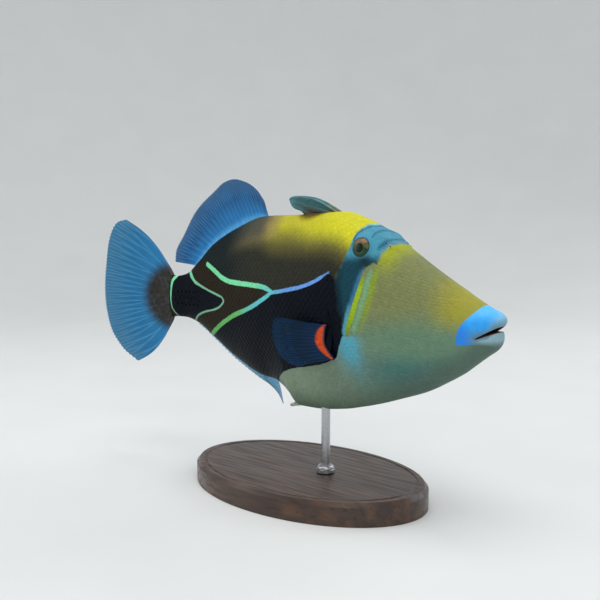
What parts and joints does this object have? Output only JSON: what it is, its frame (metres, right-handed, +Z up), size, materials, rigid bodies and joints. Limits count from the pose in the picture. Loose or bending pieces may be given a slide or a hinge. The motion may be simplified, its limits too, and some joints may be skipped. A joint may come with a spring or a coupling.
{
  "type": "reef triggerfish model on a display stand",
  "caption": "Life-size reef triggerfish with its tail gently turned, held level over an oval display base by a short rod.",
  "frame": {"origin": "centre of the underside of the stand's oval base", "axes": "+X towards the fish's snout, +Y towards the fish's left side, +Z up"},
  "size_m": [0.227, 0.08, 0.1443],
  "materials": {
    "head_skin": "satin painted skin, olive yellow above and greenish white below",
    "trunk_skin": "satin painted skin, yellow on the back to near black behind, cream belly",
    "stalk_skin": "satin painted skin, black with a pale green edge",
    "eye": "wet gloss",
    "folded_fin_skin": "satin teal grey",
    "fin_web": "satin, azure web between pale rays",
    "pectoral_web": "satin, dark blue web between pale rays",
    "pelvic_skin": "satin, greenish white",
    "stand_wood": "black stained, satin",
    "stand_metal": "satin"
  },
  "bodies": {
    "root": {"head": "head_skin", "trunk": "trunk_skin", "tail_stalk": "stalk_skin", "eye_right": "eye", "eye_left": "eye", "first_dorsal_fin": "folded_fin_skin", "second_dorsal_fin": "fin_web", "anal_fin": "fin_web", "caudal_fin": "fin_web", "pectoral_fin_right": "pectoral_web", "pectoral_fin_left": "pectoral_web", "pelvic_spine": "pelvic_skin", "stand_base": "stand_wood", "stand_rod": "stand_metal"}
  },
  "joints": []
}
